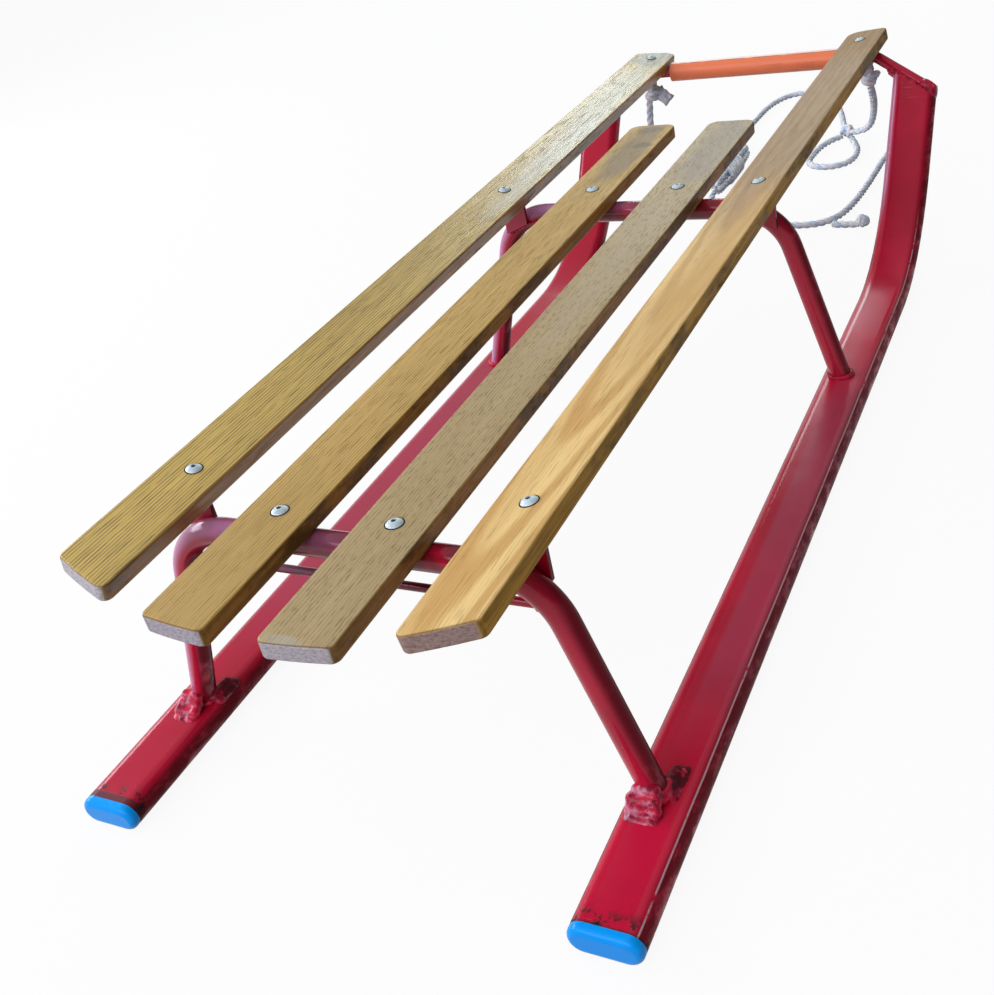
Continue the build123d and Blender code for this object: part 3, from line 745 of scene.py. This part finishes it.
rivet_places, rivet_leans = [], []
for (x, z, slope), rivet_y in (
    (INNER_RIVET, REAR_BOW_Y), (INNER_RIVET, FRONT_BOW_Y),
    (OUTER_RIVET, REAR_BOW_Y + RIVET_FROM_BOW), (OUTER_RIVET, FRONT_BOW_Y - RIVET_FROM_BOW),
    (OUTER_RIVET, NOSE_BAR_Y),
):
    for side in (-1, 1):
        rivet_places.append((side * x / 1000, rivet_y / 1000, z / 1000))
        rivet_leans.append(-side * slope)
values = {"Hole radius": 0.00132, "Head radius": 0.0051, "Joint": 0.0004, "Shade_paint": rivet_shade_paint}
mesh = made_by_tree("rivet_grime", rivet_shade_tree, rivet_places, [], values, {"lean": rivet_leans})
new_piece("rivet_grime", mesh)

# Tow rope
# Laid cord of three strands, white with a blue one, knotted under the nose bar. It comes down to the
# ground ahead of the sled, crosses itself in a loose knot, and its slack is wound in a hank.
ROPE_D = 0.0075
ROPE_PITCH = 0.024
NOSE_Y = NOSE_BAR_Y / 1000
HANK_X = -0.079
HANK_REAR = 0.083
HANK_LENGTH = 0.126
HANK_Z = 0.01235
HANK_ROPE_D = ROPE_D * 0.86
HANK_FOLDS = 5
HANK_WRAPS = 7
ROPE_WHITE = (0.96, 1.0, 1.0, 1)
ROPE_BLUE = (0.68, 0.85, 1.0, 1)
ROPE_FUZZ = (0.52, 0.67, 0.80, 1)

rope_yarn, tree, surface, coords = start_material("blue and white rope")
place = coords.outputs["Object"]
strand = add(tree, "ShaderNodeAttribute", attribute_name="strand").outputs["Fac"]
fuzz = spots(tree, place, 700.0, 3.0, 0.6)
yarn = blend_colour(tree, band(tree, strand, 0.55, 0.75), ROPE_WHITE, ROPE_BLUE)
yarn = blend_colour(tree, band(tree, fuzz, 0.48, 0.70), yarn, ROPE_FUZZ, 0.40)
tree.links.new(yarn, surface.inputs["Base Color"])
surface.inputs["Roughness"].default_value = 0.75
surface.inputs["Specular IOR Level"].default_value = 0.25
roughen(tree, surface, fuzz, 0.4, 0.0006)


def lay_rope(mesh_builder, points, closed=False, diameter=ROPE_D, twist=0.0):
    """Adds a three-stranded rope along the points; one strand is marked blue."""
    bm, blue_layer = mesh_builder
    sides = 18
    lobe_r, lobe_out = diameter * 0.5 * 0.55, diameter * 0.5 * 0.45
    count = len(points)
    rings = []
    side = None
    run = 0.0
    for i, here in enumerate(points):
        before = points[i - 1] if i or closed else here
        after = points[(i + 1) % count] if i + 1 < count or closed else here
        ahead = (after - before).normalized()
        if side is None:
            side = ahead.orthogonal().normalized()
        side = (side - ahead * side.dot(ahead)).normalized()
        other = ahead.cross(side)
        if i:
            run += (here - points[i - 1]).length
        turn = twist + 2 * math.pi * run / ROPE_PITCH
        ring = []
        for k in range(sides):
            a = 2 * math.pi * k / sides
            lobe = round(a * 3 / (2 * math.pi)) % 3
            off = a - round(a * 3 / (2 * math.pi)) * 2 * math.pi / 3
            r = lobe_out * math.cos(off) + math.sqrt(lobe_r**2 - (lobe_out * math.sin(off)) ** 2)
            v = bm.verts.new(here + (side * math.cos(a + turn) + other * math.sin(a + turn)) * r)
            v[blue_layer] = 1.0 if lobe == 0 else 0.0
            ring.append(v)
        rings.append(ring)
    for low, high in zip(rings, rings[1:]):
        for k in range(sides):
            bm.faces.new((low[k], low[(k + 1) % sides], high[(k + 1) % sides], high[k]))
    if closed:
        last, first = rings[-1], rings[0]
        slip = min(
            range(sides),
            key=lambda s: sum((last[k].co - first[(k + s) % sides].co).length for k in range(sides)),
        )
        for k in range(sides):
            bm.faces.new(
                (
                    last[k], last[(k + 1) % sides], first[(k + 1 + slip) % sides],
                    first[(k + slip) % sides],
                )
            )
    else:
        bm.faces.new(list(reversed(rings[0])))
        bm.faces.new(rings[-1])


def start_rope():
    bm = bmesh.new()
    return bm, bm.verts.layers.float.new("strand")


def finish_rope(mesh_builder, name, replaced):
    bm = mesh_builder[0]
    mesh = bpy.data.meshes.new(name)
    bmesh.ops.recalc_face_normals(bm, faces=bm.faces[:])
    bm.to_mesh(mesh)
    bm.free()
    mesh.materials.append(rope_yarn)
    mesh.polygons.foreach_set("use_smooth", [True] * len(mesh.polygons))
    piece = new_piece(name, mesh)
    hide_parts(replaced)
    return piece


def smooth_line(name, points, steps):
    """Points along a smooth curve that the bends lead, read back from Blender's own spline."""
    line = bpy.data.curves.new(name, "CURVE")
    line.dimensions = "3D"
    spline = line.splines.new("NURBS")
    spline.points.add(len(points) - 1)
    for control, p in zip(spline.points, points):
        control.co = (*p, 1)
    spline.order_u = 3
    spline.use_endpoint_u = True
    spline.resolution_u = steps
    holder = bpy.data.objects.new(name, line)
    bpy.context.scene.collection.objects.link(holder)
    mesh = bpy.data.meshes.new_from_object(holder.evaluated_get(bpy.context.evaluated_depsgraph_get()))
    found = [v.co.copy() for v in mesh.vertices]
    bpy.data.objects.remove(holder)
    bpy.data.curves.remove(line)
    bpy.data.meshes.remove(mesh)
    return found


strand_rows = {
    # name: x, distance ahead of the nose bar and height of each bend, in millimetres
    "lead": [
        (113, 0, 147), (113, 16, 130.3), (107, 51, 109.8), (96, 104, 82.3), (80, 169, 49.7),
        (57, 231, 22.3), (36, 268, 10),
    ],
    "loop": [
        (24, 271, 4.1), (13, 257, 4.1), (6, 234, 4.1), (3.5, 209, 4.1), (3, 183, 4.1),
        (16, 168, 4.1), (36, 166, 4.1), (52, 178, 4.1), (56, 200, 4.1), (52, 231, 4.1),
        (38, 263, 4.1),
    ],
    "arc": [
        (28, 284, 4.1), (17, 317, 4.1), (7, 356, 4.1), (-8, 399, 4.1), (-31, 437, 4.1),
        (-58, 461, 4.1), (-82, 457, 4.1), (-97, 431, 4.1), (-104, 394, 4.1), (-105, 354, 4.1),
        (-108, 311, 4.1), (-104, 273, 4.1), (-92, 245, 6.5), (-82, 226, 10.5), (-79, 209, 12.35),
    ],
    "tail": [
        (-79, 83, 12.35), (-79, 62, 10), (-72, 35, 4.5), (-50, 15, 4.1), (-20, 5, 4.1),
        (12, -3, 4.1), (39, -7, 4.1), (61, -2, 4.1), (75, 15, 4.1), (82, 44, 4.1),
        (86, 84, 4.1), (88.5, 134, 4.1), (89.5, 179, 4.1), (93, 217, 4.1),
    ],
    "end": [(73, -4.5, 4.1), (84, -7, 4.1), (100, -5, 4.1)],
    "left_end": [(-112, 0, 149.5), (-114.5, -1, 127), (-116, 0, 103)],
}
strands = {}
for name, rows in strand_rows.items():
    bends = [Vector((x / 1000, NOSE_Y + ahead / 1000, z / 1000)) for x, ahead, z in rows]
    line = smooth_line(name, bends, 10)
    builder = start_rope()
    lay_rope(builder, line)
    strands[name] = (finish_rope(builder, "rope_" + name, "tow_rope_" + name), line)

# Knots and hank
# The rope's own turns, pulled tight: two hitches round the nose bar, a loose overhand knot on the
# ground, a stopper knot at the free end, and the slack wound round itself.
def turn_of_rope(middle, axis, radius_u, radius_v, tilt_to, count=20):
    """A closed turn about an axis with two radii; tilt_to is the direction of the first."""
    axis = axis.normalized()
    u = (tilt_to - axis * tilt_to.dot(axis)).normalized()
    v = axis.cross(u)
    angles = [2 * math.pi * k / count for k in range(count)]
    return [middle + u * radius_u * math.cos(a) + v * radius_v * math.sin(a) for a in angles]


knot_turns = {
    # name: middle, then a row for each turn: offset, axis, two radii, direction of the first radius
    "right_knot": ((113, 431, 156.5), [
        ((0, 0, 8), (1, 0.1, 0.1), 9.0, 9.5, (0, 0, 1)),
        ((-4, 0, 1), (0.35, 0.1, 1), 5.2, 5.2, (1, 0, 0)),
        ((2, 0, -4), (-0.3, 0.2, 1), 5.4, 5.2, (1, 0, 0)),
        ((0, 0, -8), (0.25, -0.2, 1), 4.2, 4.0, (1, 0, 0)),
    ]),
    "left_knot": ((-107, 431, 156.5), [
        ((0, 0, 8), (1, 0.1, -0.1), 9.0, 9.5, (0, 0, 1)),
        ((-2, 0, 1), (0.35, 0.1, 1), 5.6, 5.2, (1, 0, 0)),
        ((2, 0, -4), (-0.3, 0.2, 1), 5.4, 5.2, (1, 0, 0)),
        ((-2, 0, -8), (0.25, -0.2, 1), 4.4, 4.0, (1, 0, 0)),
    ]),
    "cross_knot": ((31, 706, 9.2), [
        ((0, 0, 0), (0.4, 1, 0.3), 5.2, 4.8, (1, 0, 0)),
        ((2, -3, 0), (1, 0.35, 0.1), 5.2, 4.6, (0, 1, 0)),
        ((-2, 3, 0), (-0.6, 1, 0.5), 5.0, 4.4, (1, 0, 0)),
    ]),
    "end_knot": ((103, 426, 7.6), [
        ((0, 0, 0), (1, 0.2, 0.2), 3.6, 3.4, (0, 0, 1)),
        ((1, 0, 0), (0.2, 1, 0.3), 3.8, 3.2, (1, 0, 0)),
        ((1, 0, 0), (0.4, -0.5, 1), 3.6, 3.4, (1, 0, 0)),
    ]),
    "tail_knot": ((94, 655, 7.6), [
        ((0, 0, 0), (0.2, 1, 0.2), 3.6, 3.4, (0, 0, 1)),
        ((0, 1, 0), (1, 0.2, 0.3), 3.8, 3.2, (0, 1, 0)),
        ((0, 1, 0), (-0.5, 0.4, 1), 3.6, 3.4, (0, 1, 0)),
    ]),
    "left_end_knot": ((-116, 431, 104.6), [
        ((0, 0, 1), (0.2, 0.2, 1), 3.4, 3.2, (1, 0, 0)),
        ((0, 0, -1), (0.3, 1, 0.2), 3.8, 3.2, (0, 0, 1)),
        ((0, 0, -1), (1, -0.5, 0.4), 3.6, 3.2, (0, 0, 1)),
    ]),
}
for name, (middle, turns) in knot_turns.items():
    builder = start_rope()
    for offset, axis, radius_u, radius_v, first in turns:
        centre = Vector(middle) + Vector(offset)
        ring = turn_of_rope(
            centre / 1000, Vector(axis), radius_u / 1000, radius_v / 1000, Vector(first),
        )
        lay_rope(builder, ring, closed=True)
    if name == "left_knot":
        stub = [
            Vector(p) / 1000
            for p in ((-103, 431, 154), (-98, 430, 149), (-93, 430, 144.5), (-90.5, 430.5, 142.0))
        ]
        for dx, dz, wide in ((0.0, 0.0, 1.0), (0.0035, 0.003, 0.85), (-0.0025, -0.003, 0.8)):
            lay_rope(
                builder, [p + Vector((dx, 0, dz)) for p in stub], diameter=ROPE_D * wide, twist=dx * 900
            )
    finish_rope(builder, "rope_" + name, "tow_rope_" + name)

hank = start_rope()
hank_middle = Vector((HANK_X, NOSE_Y + HANK_REAR + HANK_LENGTH / 2, HANK_Z))
for k in range(HANK_FOLDS):
    spin = 2 * math.pi * k / HANK_FOLDS
    across = Vector((math.cos(spin), 0, math.sin(spin)))
    fold = turn_of_rope(
        hank_middle + across * 0.0040, across.cross(Vector((0, 1, 0))), 0.058, 0.0042,
        Vector((0, 1, 0)), 36,
    )
    lay_rope(hank, fold, closed=True, diameter=HANK_ROPE_D)
for k in range(HANK_WRAPS):
    y = -0.020 + 0.0066 * k
    lean = Vector((0.16 * math.sin(k * 1.7), 1, 0.14 * math.cos(k * 2.3)))
    wrap = turn_of_rope(hank_middle + Vector((0, y, 0)), lean, 0.0088, 0.0086, Vector((1, 0, 0)), 24)
    lay_rope(hank, wrap, closed=True, diameter=HANK_ROPE_D)
finish_rope(hank, "rope_hank", "tow_rope_hank")

cord_rows = [
    # strand, far end, pieces on it; the short end is too short to have a row of its own
    ("lead", "object", ("right_knot", "cross_knot")),
    ("loop", "object", ()),
    ("arc", "object", ("hank",)),
    ("tail", "knot", ("tail_knot", "end", "end_knot")),
    ("left_end", "knot", ("left_knot", "left_end_knot")),
]
for name, far_end, on_it in cord_rows:
    piece, line = strands[name]

# Ground, light and camera
# A pale studio floor that meets a round backdrop, and a white sky that is dimmer near the horizon
# and on the right. A small window lies ahead, a strip on the left and a broad panel behind the camera.
FLOOR_PALE = (0.90, 0.90, 0.90, 1)
FLOOR_GREY = (0.34, 0.33, 0.33, 1)
SKY_LOW = (0.42, 0.42, 0.44, 1)
SKY_RIGHT = (0.20, 0.20, 0.20, 1)
SKY_STRENGTH = 0.69
floor_mesh = bpy.data.meshes.new("floor")
floor_mesh.from_pydata([(-30, -30, 0), (30, -30, 0), (30, 30, 0), (-30, 30, 0)], [], [(0, 1, 2, 3)])
floor = bpy.data.objects.new("floor", floor_mesh)
bpy.context.scene.collection.objects.link(floor)
pale_floor = bpy.data.materials.new("pale floor")
pale_floor.use_nodes = True
tree = pale_floor.node_tree
tree.nodes.clear()
ray = add(tree, "ShaderNodeLightPath")
seen = larger(
    tree, ray.outputs["Is Camera Ray"],
    larger(tree, ray.outputs["Is Glossy Ray"], ray.outputs["Is Transmission Ray"]),
)
paper = add(tree, "ShaderNodeBsdfDiffuse", {"Color": blend_colour(tree, seen, FLOOR_GREY, FLOOR_PALE)})
glow = add(tree, "ShaderNodeEmission", {"Color": (1, 1, 1, 1), "Strength": 1.0})
both = add(
    tree, "ShaderNodeMixShader", {0: times(tree, seen, 0.92), 1: paper.outputs[0], 2: glow.outputs[0]}
)
add(tree, "ShaderNodeOutputMaterial", {"Surface": both.outputs[0]})
floor_mesh.materials.append(pale_floor)

WALL_R = 26.0
WALL_TOP = 7.0
WALL_STEPS = 64
wall_mesh = bpy.data.meshes.new("backdrop")
wall_angles = [2 * math.pi * k / WALL_STEPS for k in range(WALL_STEPS)]
around = [(WALL_R * math.cos(a), WALL_R * math.sin(a)) for a in wall_angles]
wall_mesh.from_pydata(
    [(x, y, z) for z in (0.0, WALL_TOP) for x, y in around], [],
    [
        ((k + 1) % WALL_STEPS, k, k + WALL_STEPS, (k + 1) % WALL_STEPS + WALL_STEPS)
        for k in range(WALL_STEPS)
    ],
)
wall_mesh.materials.append(pale_floor)
backdrop = bpy.data.objects.new("backdrop", wall_mesh)
bpy.context.scene.collection.objects.link(backdrop)

world = bpy.data.worlds.new("studio")
bpy.context.scene.world = world
world.use_nodes = True
tree = world.node_tree
sky = add(tree, "ShaderNodeTexCoord")
height = split(tree, sky.outputs["Generated"])
bright = band(tree, height["Z"], -0.1, 0.9)
tone = blend_colour(tree, bright, SKY_LOW, (1.0, 1.0, 1.0, 1))
tone = blend_colour(tree, band(tree, height["X"], 0.0, 0.60), tone, SKY_RIGHT)
tree.links.new(tone, tree.nodes["Background"].inputs["Color"])
tree.nodes["Background"].inputs["Strength"].default_value = SKY_STRENGTH


def soft_light(name, place, aim, size, power, colour):
    lamp = bpy.data.lights.new(name, "AREA")
    lamp.shape = "RECTANGLE"
    lamp.size, lamp.size_y = size
    lamp.energy = power
    lamp.color = colour
    holder = bpy.data.objects.new(name, lamp)
    holder.location = place
    holder.rotation_mode = "QUATERNION"
    holder.rotation_quaternion = (Vector(aim) - Vector(place)).to_track_quat("-Z", "Y")
    bpy.context.scene.collection.objects.link(holder)


soft_light("window", (-0.94, 3.0, 1.33), (-0.1, 0.25, 0.18), (0.9, 0.65), 13, (0.80, 0.94, 1.0))
soft_light("panel", (-0.45, -2.4, 1.65), (-0.05, -0.2, 0.1), (3.0, 1.3), 47, (0.82, 0.78, 1.0))
soft_light("strip", (-2.15, -0.15, 0.90), (-0.1, -0.35, 0.1), (1.9, 0.6), 28, (0.92, 0.86, 1.0))

CAMERA_PLACE = Vector((0.352549, -0.768235, 0.496447))
CAMERA_LOOK = Vector((-0.455708, 0.714002, -0.531537))
CAMERA_UP = Vector((-0.085828, 0.559117, 0.824634))
CAMERA_LENS = 43.015
lens = bpy.data.cameras.new("camera")
lens.sensor_width = 36.0
lens.sensor_fit = "HORIZONTAL"
lens.lens = CAMERA_LENS
lens.clip_start = 0.01
camera = bpy.data.objects.new("camera", lens)
right = CAMERA_LOOK.cross(CAMERA_UP).normalized()
up = right.cross(CAMERA_LOOK).normalized()
camera.matrix_world = Matrix((
    (right.x, up.x, -CAMERA_LOOK.x, CAMERA_PLACE.x),
    (right.y, up.y, -CAMERA_LOOK.y, CAMERA_PLACE.y),
    (right.z, up.z, -CAMERA_LOOK.z, CAMERA_PLACE.z),
    (0, 0, 0, 1),
))
bpy.context.scene.collection.objects.link(camera)
bpy.context.scene.camera = camera
bpy.context.scene.view_settings.view_transform = "Standard"
